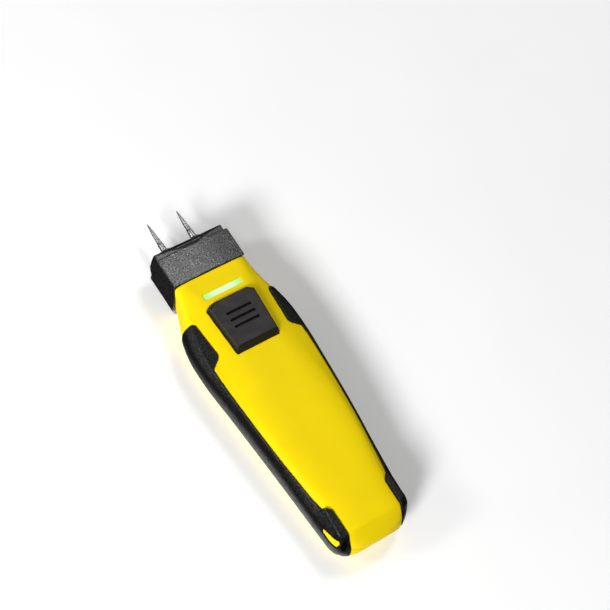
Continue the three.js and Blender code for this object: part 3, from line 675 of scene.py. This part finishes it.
def eye_window(inset):
    """The opening in the left grip where the front shell shows beside the lanyard hole."""
    low, edge = EYE_WINDOW["low"], EYE_WINDOW["edge"]
    outline = offset_polygon([(EYE_WINDOW["y0"], low), *edge, (EYE_WINDOW["y1"], low)], -inset)
    return within(across(outline[::-1]), box(*EYE_WINDOW["within"]))


def eye_hole(r):
    """The lanyard hole, leaning in from the flank to the back."""
    return loft([level(circle(r, 32) + (EYE["x"] - EYE["lean"] * (z - EYE["z"]), EYE["y"]), z)
                 for z in (-2, 20)])


def in_eye_hole(at):
    """Whether a point in the frame, in millimetres, is on the lanyard hole's wall."""
    x = at.x - EYE["x"] + EYE["lean"] * (at.z - EYE["z"])
    return math.hypot(x, at.y - LOW_END - EYE["y"]) < EYE["r"] + EYE["slack"]


def two_tone(obj, look, chosen):
    """Gives look to the faces whose centres chosen picks."""
    obj.data.materials.append(look)
    for face in obj.data.polygons:
        if chosen(face.center / MM):
            face.material_index = 1


def key_plan(grow):
    """The key's outline: wider at its upper end, with that end's corners cut off."""
    top, bottom = KEY["top"] / 2 + grow, KEY["bottom"] / 2 + grow
    y0, y1 = KEY["y"] - KEY["length"] / 2 - grow, KEY["y"] + KEY["length"] / 2 + grow
    right = [(bottom, y0), (top, y1 - KEY["corner"][1]), (top - KEY["corner"][0], y1)]
    return right + [(-x, y) for x, y in reversed(right)]


def light_plan(grow):
    """The light bar's outline."""
    w, h = LIGHT["width"] / 2 + grow, LIGHT["height"] / 2 + grow
    y0, y1 = LIGHT["y"] - h, LIGHT["y"] + h
    return [(-w, y0), (w, y0), (w, y1), (-w, y1)]


def head_side(shift):
    """Everything on the head's side of the seam."""
    seam = [(SEAM_Y, OVER), (SEAM_Y, 18.6), (SEAM_Y - 2.3, 14), (SEAM_Y - SEAM_SLOPE, 7),
            (SEAM_Y - SEAM_SLOPE, UNDER)]
    return across([(y + shift, z) for y, z in seam] + [(160, UNDER), (160, OVER)])


def cover_plan(grow):
    """The battery cover's outline, which runs off the case's lower end."""
    w, y1, corner = COVER["half"] + grow, COVER["y1"] + grow, COVER["corner"]
    return [(-w, UNDER), (w, UNDER), (w, y1 - corner), (w - corner, y1), (-w + corner, y1),
            (-w, y1 - corner)]


def cover_rail(grow, y0, y1):
    """The tongues along the cover's sides, that run in the rear shell's grooves."""
    reach = COVER["half"] + RAIL["out"] + grow
    return box(-reach, reach, y0, y1 + grow, RAIL["bottom"] - grow, COVER["thick"] + grow)


# ---- Pieces ----
def hollow_case():
    """Both shells in one piece, sunk under the grips, with the land that fills the eye window."""
    shell = cut(case_solid(0, 0, CASE_TOP), case_solid(-WALL - 0.5, WALL + 0.5, CORE_TOP))
    for side in (-1, 1):
        cut(shell, cut(grip_space(side, 0), case_solid(-GRIP_DEPTH, GRIP_DEPTH, CORE_TOP)))
    corner = within(box(*EYE_BLOCK), case_solid(-GRIP_DEPTH, GRIP_DEPTH, CASE_TOP))
    land = within(eye_window(FINE_GAP), grip_skin(GRIP_PROUD - FINE_GAP))
    join(shell, corner, land)
    return cut(shell, eye_hole(EYE["sleeve"]), head_side(-GAP))


def copy(obj):
    twin = obj.copy()
    twin.data = obj.data.copy()
    bpy.context.scene.collection.objects.link(twin)
    return twin


def make_front_shell(hollow):
    shell = within(copy(hollow), box(-OUT, OUT, UNDER, BEYOND, PARTING_Z + GAP / 2, OUT))
    cut(shell, prism(key_plan(GAP), OPENING_Z, OVER), prism(light_plan(FINE_GAP), OPENING_Z, OVER))
    soften(shell, *EVEN["front"])
    finish_piece(shell, "yellow_front_shell", LOOKS["yellow"], "case", "front_shell")


def make_rear_shell(hollow):
    """The back of the case, with the battery tub, the cover's deck and grooves, and the bosses."""
    floor_z, wall, half = COVER["thick"] + GAP, BAY["wall"], BAY["half"]
    shell = within(copy(hollow), box(-OUT, OUT, UNDER, BEYOND, UNDER, PARTING_Z - GAP / 2))
    tub = box(-half - wall, half + wall, BAY["y0"] - wall, BAY["y1"] + wall,
              floor_z, BAY["top"] + wall)
    reach = COVER["half"] + DECK["out"]
    deck = box(-reach, reach, DECK["y0"], COVER["y1"] + DECK["up"], floor_z, floor_z + wall)
    join(shell, within(join(tub, deck), case_solid(-INSIDE, INSIDE, CASE_TOP)))
    for x, y in CASE_SCREWS:
        boss = post(x, y, -1, PARTING_Z - 0.2, SCREW_BOSS["r"])
        join(shell, within(boss, case_solid(-INSIDE / 2, INSIDE, CASE_TOP)))
    cut(shell, box(-half, half, BAY["y0"], BAY["y1"], UNDER, BAY["top"]),
        prism(cover_plan(GAP), UNDER, floor_z), cover_rail(GAP, UNDER, COVER["y1"] - RAIL["end"]))
    for x, y in CASE_SCREWS:
        cut(shell, post(x, y, UNDER, SCREW_BOSS["recess"], SCREW_BOSS["recess_r"]),
            post(x, y, UNDER, SCREW_BOSS["hole"], SCREW_BOSS["hole_r"]))
    soften(shell, *EVEN["rear"])
    finish_piece(shell, "yellow_rear_shell", LOOKS["yellow"], "case", "rear_shell")


def make_cover():
    """A plate that is part of the case's back, with side tongues and grooves for a thumb."""
    plate = within(case_solid(0, 0, 90), prism(cover_plan(0), UNDER, COVER["thick"]))
    join(plate, cover_rail(0, RAIL["cover_y0"], COVER["y1"] - RAIL["end"] - 0.5))
    for i in range(THUMB["count"]):
        y = THUMB["y0"] + THUMB["pitch"] * i
        cut(plate, box(-THUMB["half"], THUMB["half"], y, y + THUMB["width"], -1, THUMB["depth"]))
    soften(plate, *EVEN["cover"])
    finish_piece(plate, "sliding_battery_cover", LOOKS["yellow"], "cover", "battery_cover")


def grip_skin(proud):
    """The outside of the grips, proud of the case and raised into a ridge at each bumper."""
    ys = END_STATIONS + BUMPER_YS + list(np.arange(20, GRIP_TOP_Y + 2, STEP_Y))
    return loft([case_ring(y, proud, bumper_share(y)) for y in ys])


def make_grip(side, name):
    """A rubber layer in the case's recess. The left one has the eye window and the lanyard hole."""
    layer = cut(grip_skin(GRIP_PROUD), case_solid(-GRIP_DEPTH + 0.05, GRIP_DEPTH - 0.05, 112))
    within(layer, grip_space(side, GAP))
    if side < 0:
        cut(layer, eye_window(0))
        join(layer, within(eye_hole(EYE["sleeve"] - 0.05), case_solid(0, 0, 60)))
        cut(layer, eye_hole(EYE["r"]))
    largest_body(soften(layer, *EVEN["grip"]))
    finish_piece(layer, f"{name}_side_grip", LOOKS["rubber"], "case", f"{name}_grip")
    if side < 0:
        # The lanyard hole's wall is given painted shade.
        two_tone(layer, LOOKS["bore"], in_eye_hole)


def head_ring(y, grow=0.0, front=0.0):
    """The head's section; front sets its front face back."""
    half = [(5, FRONT_Z + 0.15 - front), (HEAD_HALF, FRONT_Z - 0.55 - front), *HEAD_FLANK]
    return both_halves(half, HEAD_RADII, grow, y)


def make_head():
    """A front plate whose top edge stands in front of the narrower block that holds the pins."""
    plate = loft([head_ring(y) for y in (110, PLATE_TOP)])
    block = loft([head_ring(y, -BLOCK["in"], BLOCK["back"]) for y in (112, BEYOND)])
    crest = [(HEAD_TOP + y, z) for y, z in CREST]
    within(block, across([*HEAD_FOOT, (134.2, 7.2), *crest, (133, 19.9), (132, OVER),
                          (HEAD_LOW, OVER)]))
    within(plate, across([*HEAD_FOOT, (PLATE_TOP, 5), (PLATE_TOP, OVER), (HEAD_LOW, OVER)]))
    head = within(join(plate, block), head_side(0))
    cut(head, loft([head_ring(y, -HEAD_CORE["in"], HEAD_CORE["back"])
                    for y in (HEAD_LOW, HEAD_CORE["y1"])]))
    half, y0, y1 = HEAD_SLOT["half"], HEAD_TOP - HEAD_SLOT["y0"], HEAD_TOP - HEAD_SLOT["y1"]
    cut(head, box(-half, half, y0, y1, HEAD_SLOT["bottom"], OVER))
    for side in (-1, 1):
        cut(head, turned([(PIN["bore_r"], 120), (PIN["bore_r"], BEYOND)], side * PIN_X, PIN_Z))
    soften(head, *EVEN["head"])
    finish_piece(head, "graphite_head", LOOKS["head"], "case", "measuring_head")


def make_key():
    """A thick pad with steep flanks, a long chamfer at its lower end and three finger grooves."""
    def ring(z, flank, low, high):
        """The key's outline at z, drawn in at its flanks, its lower end and its upper end."""
        flat = np.array(key_plan(0))
        flat[:, 0] -= np.sign(flat[:, 0]) * flank
        flat[:, 1] += np.where(flat[:, 1] < KEY["y"], low, -high)
        return level(flat, z)

    top = FRONT_Z + KEY["rise"]
    sides = [ring(FRONT_Z - KEY["skirt"], 0, 0, 0), ring(FRONT_Z + 0.1, 0, 0, 0)]
    key = loft(sides + [ring(top + z, *ins) for z, *ins in KEY_STEPS])
    half, width = KEY_GROOVES["half"], KEY_GROOVES["half_width"]
    for y in KEY_GROOVES["ys"]:
        cut(key, box(-half, half, y - width, y + width, top - KEY_GROOVES["depth"], top + 1))
    soften(key, *EVEN["key"])
    finish_piece(key, "press_key", LOOKS["key"], "key", "measure_key")


def make_light():
    """A bar that ends just below the front face."""
    bar = prism(light_plan(0), FRONT_Z - WALL - 0.2, FRONT_Z - 0.05)
    soften(bar, *EVEN["light"])
    finish_piece(bar, "light_bar", LOOKS["light"], "case", "light_guide")


def make_electrode(side, name):
    """A pin with a shallow shoulder under a slightly swollen cone, and the collar at its foot."""
    x, r, neck = side * PIN_X, PIN["r"], PIN["neck_r"]
    cone = PIN_TIP - PIN["cone"]
    start = cone + 0.5
    profile = [(0, PIN["foot_y"]), (r, PIN["foot_y"]), (r, cone - 0.1), (r - 0.03, cone + 0.1),
               (neck, start)]
    for t in np.linspace(0.08, 1, PIN["steps"]):
        profile.append((neck * (1 - t) ** PIN["power"], start + (PIN_TIP - start) * t))
    pin = turned(profile, x, PIN_Z, 40)
    finish_piece(pin, f"{name}_pin", LOOKS["steel"], "case", f"{name}_electrode", smooth_angle=40)
    collar = turned([(a, HEAD_TOP + 0.35 + y) for a, y in COLLAR], x, PIN_Z)
    finish_piece(collar, f"{name}_pin_collar", LOOKS["steel"], "case", f"{name}_electrode_collar",
                 smooth_angle=35)


def make_cell(side, name):
    """A cylindrical cell: a sleeve over a steel can, with a nub at its upper or lower end."""
    low, high = (corner.y / MM - LOW_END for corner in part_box(f"{name}_cell"))
    plus, minus, inward = (high, low, -1) if side > 0 else (low, high, 1)
    profile = [(r, plus + inward * d) for r, d in CELL_NUB]
    profile += [(r, minus - inward * d) for r, d in CELL_FOOT]
    cell = turned(profile if inward > 0 else profile[::-1], side * CELL["x"], CELL["z"], 64)
    finish_piece(cell, f"{name}_battery_cell", LOOKS["sleeve"], "case", f"{name}_cell",
                 smooth_angle=30)

    def bare(at):
        return math.hypot(at.x - side * CELL["x"], at.z - CELL["z"]) < CELL["bare_r"]

    two_tone(cell, LOOKS["nickel"], bare)


def swept(path, r):
    """A round wire along path."""
    path = np.array(path, float)
    along = np.gradient(path, axis=0)
    along /= np.linalg.norm(along, axis=1)[:, None]
    rings = []
    for p, t in zip(path, along):
        out = np.cross(t, (0, 1, 0))
        out /= np.linalg.norm(out)
        over = np.cross(out, t)
        flat = circle(r, 12)
        rings.append(p + flat[:, :1] * out + flat[:, 1:] * over)
    return loft(rings[::-1])


def make_spring(side, name):
    """A cone spring that presses on the flat end of a cell, with a closed turn at either end."""
    low, high = (corner.y / MM - LOW_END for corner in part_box(f"{name}_contact_spring"))
    low, high = low + SPRING["inset"], high - SPRING["inset"]
    wall, face = (low, high) if side > 0 else (high, low)
    path = []
    for t in np.linspace(0, 1, SPRING["points"]):
        rise = min(max((t - SPRING["closed"]) / SPRING["open"], 0), 1)
        climb = SPRING["lean"] * t + (1 - SPRING["lean"]) * rise
        angle = SPRING["turns"] * 2 * math.pi * t
        r = SPRING["foot_r"] - SPRING["taper"] * t
        path.append((side * CELL["x"] + r * math.cos(angle), wall + (face - wall) * climb,
                     CELL["z"] + r * math.sin(angle)))
    spring = swept(path, SPRING["wire_r"])
    finish_piece(spring, f"{name}_cone_spring", LOOKS["nickel"], "case", f"{name}_contact_spring",
                 smooth_angle=60)


def make_plates():
    """Pressed contacts: a tabbed plate at each cell's upper end, a strip at both lower ends."""
    y0, y1, z0, z1 = BAY["y0"], BAY["y1"], CONTACT["z0"], CONTACT["z1"]
    gap, face, reach = CONTACT["gap"], CONTACT["face"], CONTACT["x1"]
    for side, name in ((-1, "left"), (1, "right")):
        x0, x1 = sorted((side * CONTACT["x0"], side * reach))
        t0, t1 = sorted((side * TAB["x0"], side * TAB["x1"]))
        plate = box(x0, x1, y1 - face, y1 - gap, z0, z1)
        join(plate, box(t0, t1, y1 - 0.4, TAB["end"], TAB["z0"], TAB["z1"]),
             box(t0, t1, TAB["y"], TAB["end"], TAB["z0"], TAB["top"]))
        for z in (z0, z1):
            for x in (x0, x1):
                cut(plate, box(x - 0.7, x + 0.7, y1 - 1, y1, z - 0.7, z + 0.7))
        finish_piece(plate, f"{name}_bay_contact", LOOKS["nickel"], "case", f"{name}_contact_plate",
                     smooth_angle=30)
    strip = box(-reach, reach, y0 + gap, y0 + face, z0, z1)
    for x in (-reach, 0, reach):
        for z in (z0, z1):
            cut(strip, box(x - 0.8, x + 0.8, y0 - 1, y0 + 1, z - 1.3, z + 1.3))
    finish_piece(strip, "bay_contact_strip", LOOKS["nickel"], "case", "lower_contact_bridge",
                 smooth_angle=30)


def make_screw(i, x, y):
    """A thread-forming screw with a chamfered pan head and a tapering cross recess."""
    low, high = (corner.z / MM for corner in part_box(f"case_screw_{i}"))
    sides, pitch = 32, THREAD["pitch"]
    rings = [level(circle(r, sides) + (x, y), low + z) for r, z in SCREW_HEAD]
    turn = np.linspace(0, 1, sides, endpoint=False)
    for z in np.arange(low + THREAD["start"], high - THREAD["end"], pitch / 8):
        crest = np.clip(1 - 3 * np.abs((z / pitch - turn) % 1 - 0.5), 0, 1)
        reach = THREAD["r"] + THREAD["height"] * crest
        rings.append(level(circle(1, sides) * reach[:, None] + (x, y), z))
    rings += [level(circle(r, sides) + (x, y), high + z) for r, z in SCREW_POINT]
    screw = loft(rings)
    half, width = SCREW_CROSS["half"], SCREW_CROSS["half_width"]
    for w, d in ((half, width), (width, half)):
        plan = np.array([(-w, -d), (w, -d), (w, d), (-w, d)])
        cut(screw, loft([level(plan * k + (x, y), low + z) for k, z in SCREW_CROSS["shares"]]))
    finish_piece(screw, f"case_screw_{i}_fine", LOOKS["screw"], "case", f"case_screw_{i}",
                 smooth_angle=35)


hollow = hollow_case()
make_front_shell(hollow)
make_rear_shell(hollow)
remove(hollow)
make_cover()
for side, name in ((-1, "left"), (1, "right")):
    make_grip(side, name)
    make_electrode(side, name)
    make_cell(side, name)
    make_spring(side, name)
make_plates()
for i, (x, y) in enumerate(CASE_SCREWS, 1):
    make_screw(i, x, y)
make_head()
make_key()
make_light()

for name, node in frame["nodes"].items():
    if not node.hide_render:
        node.data.materials.clear()
        node.data.materials.append(LOOKS[SLOT_LOOKS[slot_of[name]]])
        node.data.shade_smooth()
        node.data.set_sharp_from_angle(angle=math.radians(35))


# ---- Floor, light and camera, in metres ----
FLOOR = {"half": 3, "patch_mm": 60, "fade_start": 0.16, "fade_end": 0.6, "below": 0.0001}
FLOOR_TONES = (0.955, 0.955, 0.955), (0.975, 0.975, 0.975)
SKY = {"full_height": 0.9, "horizon": 0.03, "zenith": 0.22, "behind": 1.0}
LIGHTS = {  # place, point it aims at, side in metres, power in watts
    "overhead_light": ((0.35, 0.31, 1.09), (0, 0, 0), 0.25, 3.1),
    "key_light": ((-0.92, -0.42, 0.68), (0, 0, 0), 0.3, 12.2),
    "left_light": ((-0.87, 0.33, 0.56), (0, 0, 0.02), 0.2, 2.8),
    "flank_light": ((-0.95, 0.25, 0.05), (0, 0, 0.01), 0.25, 0.9),
    "rim_light": ((0.75, 0.65, 0.3), (0, 0, 0), 0.5, 0.4),
    "under_light": ((0.1, -0.2, -0.9), (0, 0, 0), 1.0, 5),
}
CAMERA = {"azimuth": -59.3, "elevation": 59.5, "roll": 28.6, "target_mm": (21.3, 12.7, 28.2),
          "distance": 0.75, "lens": 117.2, "sensor": 36, "clip_start": 0.01}


def make_floor():
    """A pale floor that fades to white further out, and that is clear from below."""
    w = FLOOR["half"]
    floor = new_object("floor", [(-w, -w, 0), (w, -w, 0), (w, w, 0), (-w, w, 0)], [(0, 1, 2, 3)])
    n = Nodes("pale_floor")
    tone = n.ramp(n.noise(FLOOR["patch_mm"], 2), *FLOOR_TONES)
    n.set(color=tone, roughness=0.7, specular=0.2, glow=tone, glow_strength=0.1)
    span = n.add("ShaderNodeVectorMath", operation="LENGTH")
    n.link(n.place, span.inputs[0])
    far = n.ramp(span.outputs["Value"], 0.0, 1.0, FLOOR["fade_start"], FLOOR["fade_end"])
    below = n.add("ShaderNodeMath", operation="MAXIMUM")
    n.link(n.add("ShaderNodeNewGeometry").outputs["Backfacing"], below.inputs[0])
    n.link(far, below.inputs[1])
    mix = n.add("ShaderNodeMixShader")
    clear = n.add("ShaderNodeBsdfTransparent")
    n.link(below.outputs["Value"], mix.inputs["Fac"])
    n.link(n.shader.outputs["BSDF"], mix.inputs[1])
    n.link(clear.outputs["BSDF"], mix.inputs[2])
    n.link(mix.outputs["Shader"], n.tree.nodes["Material Output"].inputs["Surface"])
    floor.data.materials.append(n.material)
    floor.location.z = CAD_BOX[0].z - FLOOR["below"]
    floor.visible_glossy = False
    floor.visible_shadow = False


def make_light_source(name, place, aim, size, power):
    data = bpy.data.lights.new(name, "AREA")
    data.shape = "SQUARE"
    data.size = size
    data.energy = power
    lamp = bpy.data.objects.new(name, data)
    lamp.location = place
    lamp.rotation_mode = "QUATERNION"
    lamp.rotation_quaternion = (Vector(aim) - Vector(place)).to_track_quat("-Z", "Y")
    bpy.context.scene.collection.objects.link(lamp)


def make_world():
    """White behind the meter, and for all that it lights a dim room, darker near the horizon."""
    world = bpy.data.worlds.new("studio")
    world.use_nodes = True
    tree = world.node_tree
    place = tree.nodes.new("ShaderNodeTexCoord")
    axis = tree.nodes.new("ShaderNodeSeparateXYZ")
    tree.links.new(place.outputs["Generated"], axis.inputs["Vector"])
    ramp = tree.nodes.new("ShaderNodeMapRange")
    ramp.inputs["From Max"].default_value = SKY["full_height"]
    ramp.inputs["To Min"].default_value = SKY["horizon"]
    ramp.inputs["To Max"].default_value = SKY["zenith"]
    tree.links.new(axis.outputs["Z"], ramp.inputs["Value"])
    seen = tree.nodes.new("ShaderNodeLightPath")
    mix = tree.nodes.new("ShaderNodeMix")
    tree.links.new(seen.outputs["Is Camera Ray"], mix.inputs["Factor"])
    tree.links.new(ramp.outputs["Result"], mix.inputs["A"])
    mix.inputs["B"].default_value = SKY["behind"]
    sky = tree.nodes["Background"]
    sky.inputs["Color"].default_value = (1, 1, 1, 1)
    tree.links.new(mix.outputs["Result"], sky.inputs["Strength"])
    bpy.context.scene.world = world


def make_studio():
    make_floor()
    make_world()
    for name, settings in LIGHTS.items():
        make_light_source(name, *settings)
    bpy.context.scene.view_settings.view_transform = "Standard"


def make_camera():
    """The camera stands over the lower left of the meter, leaning, with a long lens."""
    azimuth, elevation, roll = (math.radians(CAMERA[k]) for k in ("azimuth", "elevation", "roll"))
    target = Vector(CAMERA["target_mm"]) * MM
    flat = math.cos(elevation)
    back = Vector((math.sin(azimuth) * flat, -math.cos(azimuth) * flat, math.sin(elevation)))
    across_view = Vector((math.cos(azimuth), math.sin(azimuth), 0))
    rise = back.cross(across_view)
    right = across_view * math.cos(roll) + rise * math.sin(roll)
    up = back.cross(right)
    data = bpy.data.cameras.new("camera")
    data.lens = CAMERA["lens"]
    data.sensor_width = CAMERA["sensor"]
    data.clip_start = CAMERA["clip_start"]
    camera = bpy.data.objects.new("camera", data)
    turn = Matrix((right, up, back)).transposed().to_4x4()
    camera.matrix_world = Matrix.Translation(target + back * CAMERA["distance"]) @ turn
    bpy.context.scene.collection.objects.link(camera)
    bpy.context.scene.camera = camera


make_studio()
make_camera()
